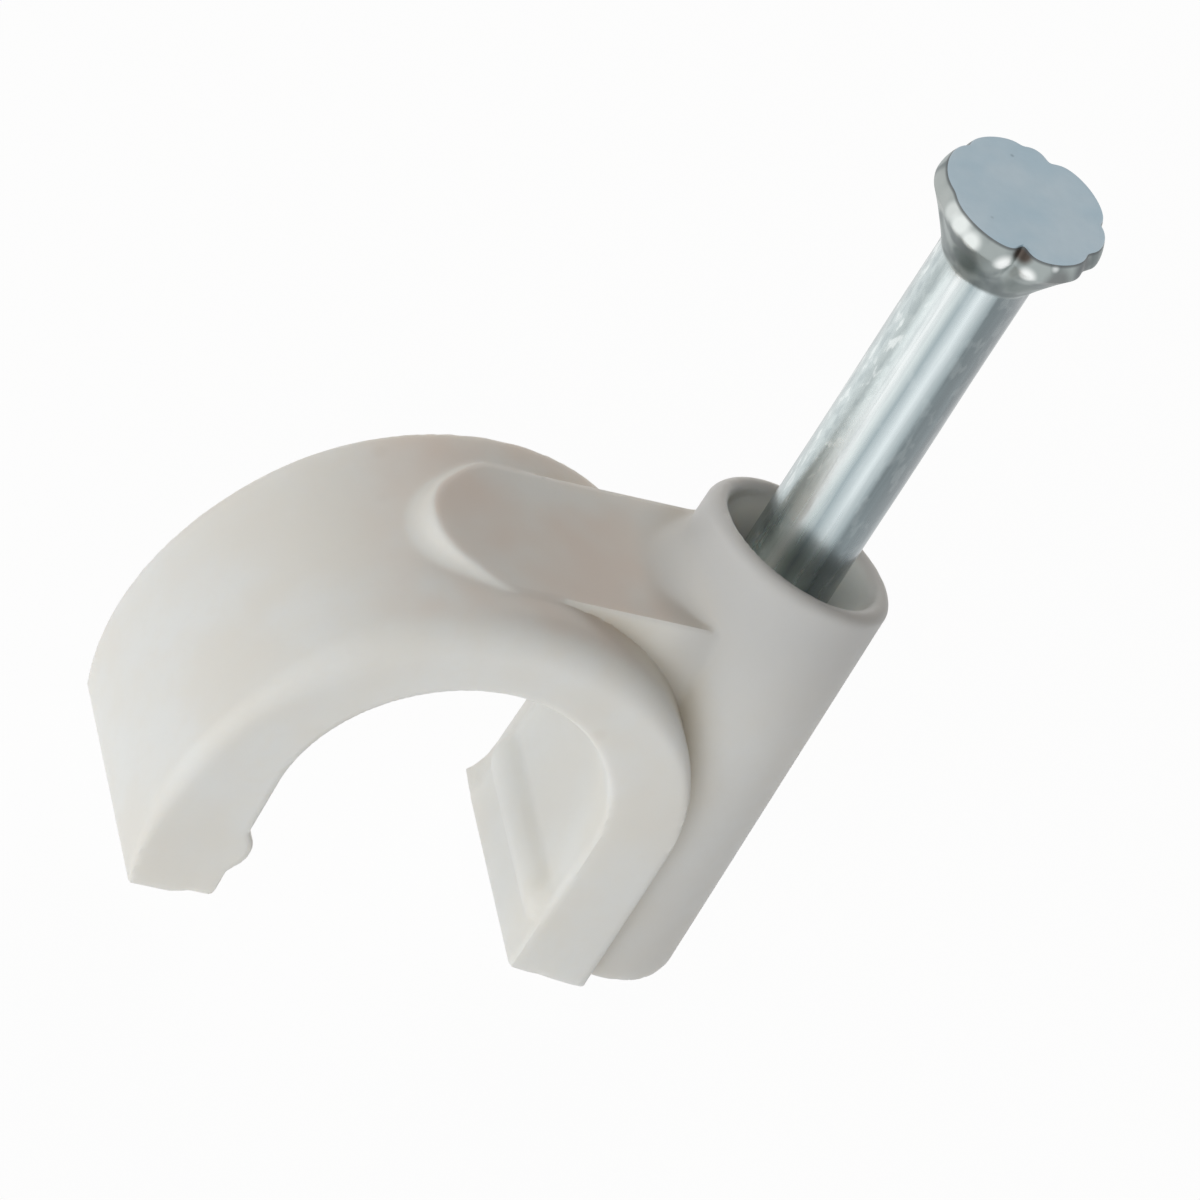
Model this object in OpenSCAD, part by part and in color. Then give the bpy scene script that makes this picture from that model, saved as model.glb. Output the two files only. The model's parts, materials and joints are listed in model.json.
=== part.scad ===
// Nail-in cable clip: a moulded saddle that hooks over a round cable,
// with a steel nail standing ready in its boss.
// The wall is the plane z = 0, the nail stands on the z axis and the cable runs along y.

/* [Cable seat] */
// Diameter of the round seat for the cable
seat_d = 8.3; // [5:0.1:14]
// Height of the bottom of the seat above the free foot
seat_slack = 0.05; // [0:0.01:0.5]
// Gap under the free leg when the boss stands on the wall
foot_gap = 0.5; // [0:0.05:1]
// Gap under the inner edge of the nail leg
heel_gap = 0.37; // [0.05:0.01:1]
// Length over which the nail leg and the boss slope down to the wall
heel_run = 3.85; // [1:0.05:4.5]
// How far each leg leans in at its foot
foot_pinch = 0.12; // [0:0.01:0.4]
// Radius on the toe of the free leg
toe_r = 0.3; // [0.05:0.05:0.8]

/* [Arch] */
// Wall of the arch around the seat
arch_wall = 2.05; // [1.7:0.05:4]
// How much larger the curve of the free leg is than the arch
leg_bow = 2.5; // [1.5:0.1:5]
// Width of the clip along the cable
clip_w = 6.7; // [6:0.1:14]
// Radius along the outer edge of the near face
near_edge_r = 0.45; // [0.1:0.05:1]
// Radius along the outer edge of the far face
far_edge_r = 0.1; // [0.05:0.05:1]
// How far the seat widens at the far face
flare = 0.4; // [0.1:0.05:0.6]
// Length of the flare along the cable
flare_len = 1.2; // [0.5:0.1:2]
// Height over which the flare runs out at the feet
flare_runout = 1.2; // [0.6:0.1:2]
// Height of the plain land between a foot and the flare
flare_land = 0.1; // [0.05:0.01:0.4]

/* [Grip ribs] */
// Height of a rib above the leg
rib_rise = 0.3; // [0.1:0.05:0.5]
// Radius of the round rib
rib_r = 0.75; // [0.6:0.05:0.8]
// Height of the ribs above the free foot
rib_z = 1.65; // [1:0.05:2.5]
// Distance of both ribs from the far face
rib_far_inset = 1.4; // [0.8:0.1:3]
// Distance of the nail leg's rib from the near face
rib_near_inset = 0.8; // [0.8:0.1:2]

/* [Boss] */
// Distance of the nail axis outside the arch
boss_shift = 0.45; // [0:0.05:1]
// Height of the boss above the top of the arch, on the nail's axis
boss_rise = 1.8; // [1.4:0.1:4]
// Slope of the rim in degrees, falling away from the cable
rim_tilt = 12; // [0:1:15]
// Diameter of the mouth that takes the nail's head
mouth_d = 4.2; // [3.8:0.1:6]
// Straight height of the mouth on the low side of the rim
mouth_land = 0.1; // [0.05:0.05:0.5]
// Wall of the boss around the mouth
boss_rim_wall = 0.5; // [0.3:0.05:1]
// Draft of the flank in degrees
boss_draft = 0.8; // [0:0.1:2]

/* [Pad] */
// Width of the pad that bridges the arch and the boss
pad_w = 4.3; // [3:0.1:4.6]
// Shift of the pad towards the far face
pad_shift = 0.25; // [0:0.05:0.25]
// Height of the pad above the top of the arch
pad_rise = 0.05; // [0.05:0.05:0.6]
// Reach of the round end past the top of the arch
pad_reach = 2.7; // [2.4:0.1:3.6]
// Radius along the upper edge of the pad
pad_edge_r = 0.1; // [0.05:0.05:0.4]
// Fillet from the pad up to the boss
pad_fillet_r = 0.9; // [0.2:0.05:1]

/* [Nail] */
// Diameter of the shank
nail_d = 2.5; // [1.8:0.1:3]
// Length from the tip to the top of the head
nail_len = 24.3; // [18:0.1:40]
// Height of the tip above the wall before it is driven
nail_tip_gap = 0.2; // [0.1:0.05:2]
// Clearance between the shank and its bore
nail_clearance = 0.03; // [0.01:0.01:0.1]
// Length of the four-sided point
point_len = 3.4; // [2:0.1:5]
// Flat left across the tip
point_flat = 0.2; // [0.1:0.05:0.6]

/* [Nail head] */
// Diameter across the lobes
head_d = 4.4; // [4:0.1:6]
// Height of the lobed rim
head_rim_h = 0.5; // [0.4:0.05:1.2]
// Height of the cone under the rim
head_cone_h = 1.5; // [1:0.1:2.5]
// Bevel around the top face
head_bevel = 0.2; // [0.05:0.01:0.35]
// Depth of the notches between the lobes
lobe_depth = 0.28; // [0.1:0.02:0.4]
// Radius of the creases that run from the notches to the neck
crease_r = 0.2; // [0.1:0.02:0.3]

/* [Hidden] */
$fn = 96;
// Overshoot of every cut
over = 1;
// Direction from the cable axis in which the free leg leaves the arch
bow_dir = [-0.8, 0.6];

// Arch and seat, measured from the cable axis
seat_r = seat_d / 2;
arch_r = seat_r + arch_wall;
leg_h = seat_r + seat_slack;
seat_z = foot_gap + leg_h;
arch_top = seat_z + arch_r;
foot_half = seat_r - foot_pinch;
leg_bow_r = arch_r + leg_bow;
section_depth = arch_wall + seat_r / 2;
cable_x = -(arch_r + boss_shift);
rib_level = foot_gap + rib_z;
rib_face = foot_half + foot_pinch * rib_z / leg_h;
rib_axis = rib_face + rib_r - rib_rise;

// Nail, measured from its tip
nail_r = nail_d / 2;
bore_r = nail_r + nail_clearance;
head_r = head_d / 2;
neck_z = nail_len - head_rim_h - head_cone_h;
rim_z = nail_len - head_rim_h;
point_angle = atan((nail_r - point_flat / 2) / point_len);
// Share of a turn that each uneven lobe takes, in degrees
lobe_turns = [67, 24, 47, 57, 70, 55, 40];
lobe_first = -8;
notch_r = head_r - lobe_depth;

// Boss and pad
boss_h = arch_top + boss_rise;
mouth_r = mouth_d / 2;
mouth_z = boss_h - mouth_r * tan(rim_tilt) - mouth_land;
mouth_depth = (mouth_r - bore_r) * head_cone_h / (head_r - nail_r);
boss_top_r = mouth_r + boss_rim_wall;
boss_base_r = boss_top_r + boss_h * tan(boss_draft);
boss_peak = boss_h + boss_base_r * tan(rim_tilt) + over;
boss_peak_r = boss_top_r - (boss_peak - boss_h) * tan(boss_draft);
pad_top = arch_top + pad_rise;
pad_end_x = cable_x - pad_reach + pad_w / 2;
pad_boss_r = boss_top_r + (boss_h - pad_top) * tan(boss_draft);

// Turn at which a lobe starts
function lobe_start(i) = i == 0 ? lobe_first : lobe_start(i - 1) + lobe_turns[i - 1];
// Radius of the arc that spans a lobe from notch to notch and reaches the full head
function lobe_r(turn) =
    let (half_chord = notch_r * sin(turn / 2), rise = head_r - notch_r * cos(turn / 2))
    (half_chord * half_chord + rise * rise) / (2 * rise);

// Waste outside a round corner of radius r, for a corner at the origin
module corner_waste(r) {
    difference() {
        translate([-over, -over])
            square(over + r);
        translate([r, r])
            circle(r);
    }
}

// Section of the arch out to a radius, with both outer corners rounded
module arch_section(r) {
    difference() {
        translate([r - section_depth, -clip_w / 2])
            square([section_depth, clip_w]);
        translate([r, -clip_w / 2])
            mirror([1, 0])
                corner_waste(near_edge_r);
        translate([r, clip_w / 2])
            rotate(180)
                corner_waste(far_edge_r);
    }
}

// Ring of the arch's section, kept inside an outline across the cable
module arch_sector(r, outline) {
    rotate([90, 0, 0])
        intersection() {
            rotate_extrude()
                mirror([0, 1])
                    arch_section(r);
            linear_extrude(clip_w + 2 * over, center = true)
                polygon(outline);
        }
}

// Core of the arch, which laps into both legs
module arch_core() {
    core_w = clip_w - 2 * near_edge_r;
    rotate([90, 0, 0])
        intersection() {
            rotate_extrude()
                translate([arch_r - section_depth, -core_w / 2])
                    square([section_depth - near_edge_r, core_w]);
            linear_extrude(clip_w, center = true)
                translate([-arch_r, -arch_wall])
                    square([2 * arch_r, arch_r + arch_wall]);
        }
}

// Solid arch with its two legs, before the cable channel is cut
module arch_blank() {
    reach = 2 * leg_bow_r;
    bow_centre = -leg_bow * bow_dir;
    foot_v = -leg_h - bow_centre[1];
    translate([cable_x, 0, 0])
        linear_extrude(seat_z)
            arch_section(arch_r);
    translate([cable_x, 0, seat_z]) {
        arch_core();
        arch_sector(arch_r, [[0, 0], [reach, 0], [reach, reach], reach * bow_dir]);
    }
    translate([cable_x + bow_centre[0], 0, seat_z + bow_centre[1]])
        arch_sector(leg_bow_r, [[0, 0], reach * bow_dir, [-reach, foot_v], [0, foot_v]]);
}

// Round seat with legs that lean in, open at the wall, and the slope under the nail leg
module cable_channel() {
    translate([cable_x, 0, 0])
        rotate([90, 0, 0])
            linear_extrude(clip_w + 2 * over, center = true) {
                translate([0, seat_z])
                    circle(seat_r);
                polygon([
                    [-foot_half, -over], [foot_half, -over], [foot_half, heel_gap],
                    [seat_r, seat_z], [-seat_r, seat_z], [-foot_half, foot_gap]
                ]);
                polygon([
                    [0, -over], [foot_half + heel_run, -over], [foot_half + heel_run, 0],
                    [foot_half, heel_gap], [0, heel_gap]
                ]);
                translate([-foot_half, foot_gap])
                    mirror([1, 0])
                        corner_waste(toe_r);
            }
}

// Half section of the flare, a wedge that opens from the cable axis past the far face
module flare_section() {
    slope = flare / flare_len;
    far_y = clip_w / 2;
    polygon([
        [0, far_y + over],
        [seat_r + flare + slope * over, far_y + over],
        [0, far_y - flare_len - seat_r / slope]
    ]);
}

// Outline of the flare down one leg, curving back to the foot
module flare_runout_outline() {
    depth = flare + foot_pinch;
    runout_r = (depth * depth + flare_runout * flare_runout) / (2 * depth);
    translate([foot_half + depth - runout_r, flare_runout])
        circle(runout_r);
    translate([0, flare_runout])
        square([arch_r, seat_z]);
}

// Flare down one leg, from its foot to the cable axis
module leg_flare(foot_z) {
    translate([0, 0, foot_z + flare_land])
        intersection() {
            linear_extrude(seat_z - foot_z - flare_land)
                flare_section();
            rotate([90, 0, 0])
                linear_extrude(6 * clip_w, center = true)
                    flare_runout_outline();
        }
}

// Flare of the seat at the far face, round over the arch and flat down both legs
module seat_flare() {
    translate([cable_x, 0, seat_z])
        rotate([90, 0, 0])
            rotate_extrude(angle = 180)
                mirror([0, 1])
                    flare_section();
    translate([cable_x, 0, 0]) {
        leg_flare(heel_gap);
        mirror([1, 0, 0])
            leg_flare(foot_gap);
    }
}

// Round rib along the cable, from the start to the end
module rib(start, end) {
    translate([0, start, rib_level])
        rotate([-90, 0, 0])
            cylinder(r = rib_r, h = end - start);
    translate([0, end, rib_level])
        sphere(rib_r);
}

// Ribs inside the legs that keep the cable from slipping
module grip_ribs() {
    far_end = clip_w / 2 - rib_far_inset;
    translate([cable_x - rib_axis, 0, 0])
        rib(-clip_w / 2, far_end);
    translate([cable_x + rib_axis, 0, 0]) {
        rib(rib_near_inset - clip_w / 2, far_end);
        translate([0, rib_near_inset - clip_w / 2, rib_level])
            sphere(rib_r);
    }
}

// Drafted post around the nail, cut off along the sloping rim
module boss_blank() {
    reach = 2 * boss_base_r;
    difference() {
        cylinder(r1 = boss_base_r, r2 = boss_peak_r, h = boss_peak);
        translate([0, 0, boss_h])
            rotate([0, rim_tilt, 0])
                translate([-reach, -reach, 0])
                    cube(2 * reach);
    }
}

// Bore for the shank, opening into the conical seat and the mouth for the head
module nail_bore() {
    translate([0, 0, -over])
        cylinder(r = bore_r, h = mouth_z + over);
    translate([0, 0, mouth_z - mouth_depth])
        cylinder(r1 = bore_r, r2 = mouth_r, h = mouth_depth);
    translate([0, 0, mouth_z])
        cylinder(r = mouth_r, h = boss_peak - mouth_z + over);
}

// Section across the pad, with both upper corners rounded
module pad_section() {
    translate([-pad_w / 2, seat_z])
        square([pad_w, pad_top - pad_edge_r - seat_z]);
    translate([pad_edge_r - pad_w / 2, seat_z])
        square([pad_w - 2 * pad_edge_r, pad_top - seat_z]);
    for (side = [-1, 1])
        translate([side * (pad_w / 2 - pad_edge_r), pad_top - pad_edge_r])
            circle(pad_edge_r);
}

// Pad with a round end over the arch, running into the boss
module pad_blank() {
    translate([pad_end_x, pad_shift, 0]) {
        rotate([90, 0, 90])
            linear_extrude(-pad_end_x)
                pad_section();
        rotate_extrude()
            intersection() {
                pad_section();
                translate([0, seat_z])
                    square([pad_w, pad_top]);
            }
    }
}

// Hollow fillet around the boss, kept where the pad meets it
module pad_fillet() {
    flat_w = pad_w - 2 * pad_edge_r;
    root = boss_rim_wall / 2;
    intersection() {
        rotate_extrude()
            translate([pad_boss_r - root, pad_top - root])
                difference() {
                    square(root + pad_fillet_r);
                    translate([root + pad_fillet_r, root + pad_fillet_r])
                        circle(pad_fillet_r);
                }
        translate([-arch_r, pad_shift - flat_w / 2, 0])
            cube([arch_r, flat_w, boss_h]);
    }
}

// Moulded body in one piece
module clip_body() {
    color("#dedcd5")
        difference() {
            union() {
                difference() {
                    union() {
                        arch_blank();
                        boss_blank();
                        pad_blank();
                        pad_fillet();
                    }
                    cable_channel();
                    seat_flare();
                }
                grip_ribs();
            }
            nail_bore();
        }
}

// Shank and head as turned, before the lobes are struck
module nail_blank() {
    rotate_extrude()
        polygon([
            [0, 0], [nail_r, 0], [nail_r, neck_z], [head_r, rim_z],
            [head_r, nail_len - head_bevel], [head_r - head_bevel, nail_len], [0, nail_len]
        ]);
}

// Outline of the head: one arc for each lobe
module head_outline() {
    circle(notch_r * cos(max(lobe_turns) / 2));
    for (i = [0 : len(lobe_turns) - 1]) {
        turn = lobe_turns[i];
        rotate(lobe_start(i) + turn / 2)
            translate([head_r - lobe_r(turn), 0])
                circle(lobe_r(turn));
    }
}

// Creases that run down the cone from each notch and fade out at the neck
module head_creases() {
    slant = atan((head_r - nail_r - crease_r) / head_cone_h);
    for (i = [0 : len(lobe_turns) - 1])
        rotate(lobe_start(i))
            translate([nail_r + crease_r, 0, neck_z])
                rotate([0, slant, 0])
                    cylinder(r = crease_r, h = 2 * head_cone_h);
}

// Four flats that bring the shank to a diamond point
module point_flats() {
    for (quarter = [0 : 90 : 270])
        rotate(quarter)
            translate([point_flat / 2, -nail_d, 0])
                rotate([0, point_angle, 0])
                    cube([nail_d, 2 * nail_d, 2 * point_len]);
}

// Zinc-plated nail, standing in the boss before it is driven
module nail() {
    color("#aab6ba")
        translate([0, 0, nail_tip_gap])
            difference() {
                intersection() {
                    nail_blank();
                    union() {
                        cylinder(r = nail_r, h = rim_z);
                        translate([0, 0, neck_z])
                            linear_extrude(nail_len - neck_z)
                                head_outline();
                    }
                }
                head_creases();
                point_flats();
            }
}

clip_body();
nail();
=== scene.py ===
"""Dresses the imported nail-in cable clip: its moulded body, its nail, the studio and the camera."""

import json
import logging
import math
from dataclasses import dataclass
from enum import Enum
from typing import Callable

import bpy
import numpy as np
from mathutils import Matrix, Vector

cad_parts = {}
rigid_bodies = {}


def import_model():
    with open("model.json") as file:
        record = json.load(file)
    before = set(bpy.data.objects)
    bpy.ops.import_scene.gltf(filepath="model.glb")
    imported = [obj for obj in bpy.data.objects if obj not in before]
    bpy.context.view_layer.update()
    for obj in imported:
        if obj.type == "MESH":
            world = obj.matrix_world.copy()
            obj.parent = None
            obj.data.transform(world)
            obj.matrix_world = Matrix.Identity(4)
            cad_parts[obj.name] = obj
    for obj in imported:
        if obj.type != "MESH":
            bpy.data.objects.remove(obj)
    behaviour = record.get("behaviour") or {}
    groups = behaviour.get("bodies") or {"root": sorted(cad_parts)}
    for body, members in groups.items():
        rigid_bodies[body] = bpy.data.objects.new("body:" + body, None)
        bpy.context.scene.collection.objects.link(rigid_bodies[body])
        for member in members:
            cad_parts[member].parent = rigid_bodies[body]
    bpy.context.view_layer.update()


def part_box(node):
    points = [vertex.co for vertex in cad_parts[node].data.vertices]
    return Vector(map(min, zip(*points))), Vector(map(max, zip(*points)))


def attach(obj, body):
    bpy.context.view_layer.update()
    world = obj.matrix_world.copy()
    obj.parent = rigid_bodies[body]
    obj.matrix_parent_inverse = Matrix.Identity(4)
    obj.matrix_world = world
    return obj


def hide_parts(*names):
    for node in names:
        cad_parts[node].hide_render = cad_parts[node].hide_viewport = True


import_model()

LOG = logging.getLogger("cable_clip")
MM = 0.001
Points = np.ndarray
Socket = bpy.types.NodeSocket
Tree = bpy.types.NodeTree
Field = Callable[[Points], np.ndarray]


class Slot(Enum):
    """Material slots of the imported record."""

    BODY = "body_polymer"
    NAIL = "nail_steel"


def round_and(a: np.ndarray, b: np.ndarray, r: np.ndarray | float) -> np.ndarray:
    """Meets two fields in a rounded outer edge.

    Args:
        a: First signed distance, in millimetres.
        b: Second signed distance.
        r: Radius of the edge, one value or one per point.

    Returns:
        Signed distance of what lies inside both.
    """
    corner = np.hypot(np.maximum(a + r, 0.0), np.maximum(b + r, 0.0))
    return np.minimum(-r, np.maximum(a, b)) + corner


def round_or(a: np.ndarray, b: np.ndarray, r: np.ndarray | float) -> np.ndarray:
    """Joins two fields with a hollow fillet.

    Args:
        a: First signed distance, in millimetres.
        b: Second signed distance.
        r: Radius of the fillet, one value or one per point.

    Returns:
        Signed distance of what lies inside either.
    """
    hollow = np.hypot(np.maximum(r - a, 0.0), np.maximum(r - b, 0.0))
    return np.maximum(r, np.minimum(a, b)) - hollow


def ease(x: np.ndarray, low: float, high: float) -> np.ndarray:
    """Rises smoothly from 0 at low to 1 at high.

    Args:
        x: Values to map.
        low: Where the rise starts.
        high: Where the rise ends.

    Returns:
        Values from 0 to 1.
    """
    t = np.clip((x - low) / (high - low), 0.0, 1.0)
    return t * t * (3.0 - 2.0 * t)


# Rows of the sums that the mesher keeps for each grid cell
PRODUCTS, OFFSETS, PLACES, COUNT = slice(0, 6), slice(6, 9), slice(9, 12), 12


@dataclass(frozen=True)
class FieldMesher:
    """Turns a signed distance field into a closed quad mesh that keeps its edges.

    The grid's step and the probe are in millimetres. The pull holds a vertex near the middle
    of its crossings where the surface is flat.
    """

    step: float = 0.115
    pull: float = 0.02
    probe: float = 0.004
    halvings: int = 9
    least_slope: float = 1e-12

    def gradient(self, solid: Field, points: Points) -> Points:
        """Measures the unit normal of the field.

        Args:
            solid: Signed distance in millimetres.
            points: Places to measure.

        Returns:
            One unit vector per point.
        """
        axes = [np.eye(3)[i] * self.probe for i in range(3)]
        slope = np.stack([solid(points + a) - solid(points - a) for a in axes], axis=1)
        length = np.linalg.norm(slope, axis=1, keepdims=True)
        return slope / np.maximum(length, self.least_slope)

    def crossings(self, solid: Field, a: Points, b: Points) -> Points:
        """Finds where the surface cuts grid edges.

        Args:
            solid: Signed distance in millimetres.
            a: Edge starts.
            b: Edge ends, on the other side of the surface.

        Returns:
            One point per edge.
        """
        low, high = np.zeros(len(a)), np.ones(len(a))
        inside = solid(a) < 0.0
        for _ in range(self.halvings):
            middle = 0.5 * (low + high)
            same = (solid(a + (b - a) * middle[:, None]) < 0.0) == inside
            low, high = np.where(same, middle, low), np.where(same, high, middle)
        return a + (b - a) * (0.5 * (low + high))[:, None]

    def mesh(self, solid: Field, low: Points, high: Points) -> tuple[Points, np.ndarray]:
        """Meshes the field inside a box.

        Args:
            solid: Signed distance in millimetres.
            low: Lowest corner, clear of the surface.
            high: Highest corner, clear of the surface.

        Returns:
            Vertices in millimetres and quads that face outwards.
        """
        shape = np.ceil((high - low) / self.step).astype(int) + 1
        axes = [low[i] + self.step * np.arange(shape[i]) for i in range(3)]
        corners = np.stack(np.meshgrid(*axes, indexing="ij"), axis=-1)
        inside = np.concatenate(
            [solid(sheet.reshape(-1, 3)) for sheet in corners]
        ).reshape(shape) < 0.0
        cells = shape - 1
        total = int(np.prod(cells))
        sums = np.zeros((COUNT + 1, total))
        rings: list[np.ndarray] = []
        for axis in range(3):
            first = np.take(inside, np.arange(shape[axis] - 1), axis=axis)
            second = np.take(inside, np.arange(1, shape[axis]), axis=axis)
            at = np.argwhere(first != second)
            enters = first[tuple(at.T)]
            start = low + self.step * at
            hit = self.crossings(solid, start, start + self.step * np.eye(3)[axis])
            normal = self.gradient(solid, hit)
            side, other = (axis + 1) % 3, (axis + 2) % 3
            ring = []
            for back_a, back_b in ((0, 0), (1, 0), (1, 1), (0, 1)):
                cell = at.copy()
                cell[:, side] -= back_a
                cell[:, other] -= back_b
                ring.append(np.ravel_multi_index(tuple(cell.T), tuple(cells)))
            quad = np.stack(ring, axis=1)
            quad[enters] = quad[enters][:, ::-1]
            rings.append(quad[:, ::-1])
            plane = np.einsum("ij,ij->i", normal, hit)
            rows = [normal[:, i] * normal[:, j] for i in range(3) for j in range(i, 3)]
            rows += [normal[:, i] * plane for i in range(3)]
            rows += [hit[:, i] for i in range(3)] + [np.ones(len(hit))]
            for cell in ring:
                for k, row in enumerate(rows):
                    sums[k] += np.bincount(cell, row, total)
        used = np.flatnonzero(sums[COUNT] > 0)
        return self.settle(sums[:, used], used, cells, low), self.compact(rings, used, total)

    def settle(
        self, sums: np.ndarray, used: np.ndarray, cells: np.ndarray, low: Points,
    ) -> Points:
        """Places one vertex per cell where its surface planes meet.

        Args:
            sums: Summed plane products, points and counts of each used cell.
            used: Flat numbers of the used cells.
            cells: Cells along each axis.
            low: Lowest corner of the grid.

        Returns:
            Vertices in millimetres.
        """
        count = sums[COUNT]
        mean = (sums[PLACES] / count).T
        square = np.empty((len(used), 3, 3))
        pairs = [(i, j) for i in range(3) for j in range(i, 3)]
        for row, (i, j) in zip(sums[PRODUCTS], pairs):
            square[:, i, j] = square[:, j, i] = row / count
        right = (sums[OFFSETS] / count).T - np.einsum("nij,nj->ni", square, mean)
        moved = np.linalg.solve(square + self.pull * np.eye(3), right[:, :, None])[:, :, 0]
        corner = low + self.step * np.stack(np.unravel_index(used, tuple(cells)), axis=1)
        return np.clip(mean + moved, corner, corner + self.step)

    def compact(self, rings: list[np.ndarray], used: np.ndarray, total: int) -> np.ndarray:
        """Renumbers quads from grid cells to vertices.

        Args:
            rings: Quads of cell numbers, one array per axis.
            used: Flat numbers of the used cells.
            total: Number of cells.

        Returns:
            Quads of vertex numbers.
        """
        number = np.full(total, -1)
        number[used] = np.arange(len(used))
        return number[np.concatenate(rings)]


def mesh_object(
    name: str, verts: Points, faces: list | np.ndarray, sharp: float,
) -> bpy.types.Object:
    """Makes a smooth-shaded object from millimetre vertices.

    Args:
        name: Name of the piece.
        verts: Vertices in millimetres.
        faces: Vertex numbers of each face.
        sharp: Angle in degrees above which an edge shades sharp.

    Returns:
        The linked object.
    """
    mesh = bpy.data.meshes.new(name)
    mesh.from_pydata((np.asarray(verts) * MM).tolist(), [], [list(map(int, f)) for f in faces])
    mesh.validate()
    mesh.shade_smooth()
    mesh.set_sharp_from_angle(angle=math.radians(sharp))
    piece = bpy.data.objects.new(name, mesh)
    bpy.context.scene.collection.objects.link(piece)
    return piece


@dataclass(frozen=True)
class NodeBoard:
    """Places and wires the nodes of one shader tree."""

    tree: Tree

    def add(self, kind: str, settings: dict | None = None, **inputs: object) -> bpy.types.Node:
        """Adds a node.

        Args:
            kind: Blender's node type.
            settings: Properties of the node.
            inputs: Socket values or sources, with underscores for spaces.

        Returns:
            The new node.
        """
        node = self.tree.nodes.new(kind)
        for key, value in (settings or {}).items():
            setattr(node, key, value)
        for key, value in inputs.items():
            socket = self.socket(node, key)
            if isinstance(value, Socket):
                self.tree.links.new(value, socket)
            else:
                socket.default_value = value
        return node

    @staticmethod
    def socket(node: bpy.types.Node, key: str) -> Socket:
        """Finds an input of a node.

        Args:
            node: The node.
            key: Name with underscores for spaces, or i and a number, such as i0.

        Returns:
            The input socket.
        """
        if key[0] == "i" and key[1:].isdigit():
            return node.inputs[int(key[1:])]
        return node.inputs[key.replace("_", " ")]

    def math(self, operation: str, a: object, b: object = 0.0) -> Socket:
        """Combines two values.

        Args:
            operation: Blender's math operation.
            a: First value or source.
            b: Second value or source.

        Returns:
            The result socket.
        """
        return self.add("ShaderNodeMath", {"operation": operation}, i0=a, i1=b).outputs[0]

    def mix(self, factor: object, a: object, b: object) -> Socket:
        """Blends two colours.

        Args:
            factor: Share of the second colour.
            a: First colour or source.
            b: Second colour or source.

        Returns:
            The blended colour socket.
        """
        node = self.add("ShaderNodeMix", {"data_type": "RGBA"}, i0=factor, i6=a, i7=b)
        return node.outputs[2]

    def spread(
        self, value: object, low: float, high: float, out_low: float, out_high: float,
    ) -> Socket:
        """Maps a value smoothly from one range to another.

        Args:
            value: Source value.
            low: Start of the source range.
            high: End of the source range.
            out_low: Result at the start.
            out_high: Result at the end.

        Returns:
            The result socket.
        """
        node = self.add(
            "ShaderNodeMapRange", {"interpolation_type": "SMOOTHSTEP"},
            i0=value, i1=low, i2=high, i3=out_low, i4=out_high,
        )
        return node.outputs[0]


def rgb(red: int, green: int, blue: int) -> tuple[float, float, float, float]:
    """Turns a screen colour from 0 to 255 into a scene colour."""
    linear = [((c / 255 + 0.055) / 1.055) ** 2.4 for c in (red, green, blue)]
    return (linear[0], linear[1], linear[2], 1.0)


def metres(sizes: tuple) -> tuple:
    """Turns sizes in millimetres into metres."""
    return tuple(size * MM for size in sizes)


@dataclass(frozen=True)
class GroupSocket:
    """One named socket of a shader node group."""

    name: str
    kind: str
    value: float = 0.0


def new_group(
    name: str, inputs: list[GroupSocket], outputs: list[GroupSocket],
) -> tuple[NodeBoard, bpy.types.Node, bpy.types.Node]:
    """Starts a shader node group.

    Args:
        name: Name of the group.
        inputs: Its input sockets.
        outputs: Its output sockets.

    Returns:
        The board, the input node and the output node.
    """
    tree = bpy.data.node_groups.new(name, "ShaderNodeTree")
    for way, sockets in (("INPUT", inputs), ("OUTPUT", outputs)):
        for item in sockets:
            socket = tree.interface.new_socket(item.name, in_out=way, socket_type=item.kind)
            if way == "INPUT" and item.kind == "NodeSocketFloat":
                socket.default_value = item.value
    board = NodeBoard(tree)
    return board, board.add("NodeGroupInput"), board.add("NodeGroupOutput")


@dataclass(frozen=True)
class Clouds:
    """Grain of the shared mottle on one finish, in cycles per metre."""

    broad: float
    fine: float
    speck: float

    def add(
        self, board: NodeBoard, mottle: Tree, place: Socket,
    ) -> bpy.types.bpy_prop_collection:
        """Places the shared mottle in a material.

        Args:
            board: Board of the material.
            mottle: The shared group.
            place: Object coordinates.

        Returns:
            The group's outputs: Broad, Fine and Specks.
        """
        node = board.add(
            "ShaderNodeGroup", {"node_tree": mottle}, Vector=place,
            Broad_Scale=self.broad, Fine_Scale=self.fine, Speck_Scale=self.speck,
        )
        return node.outputs


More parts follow.
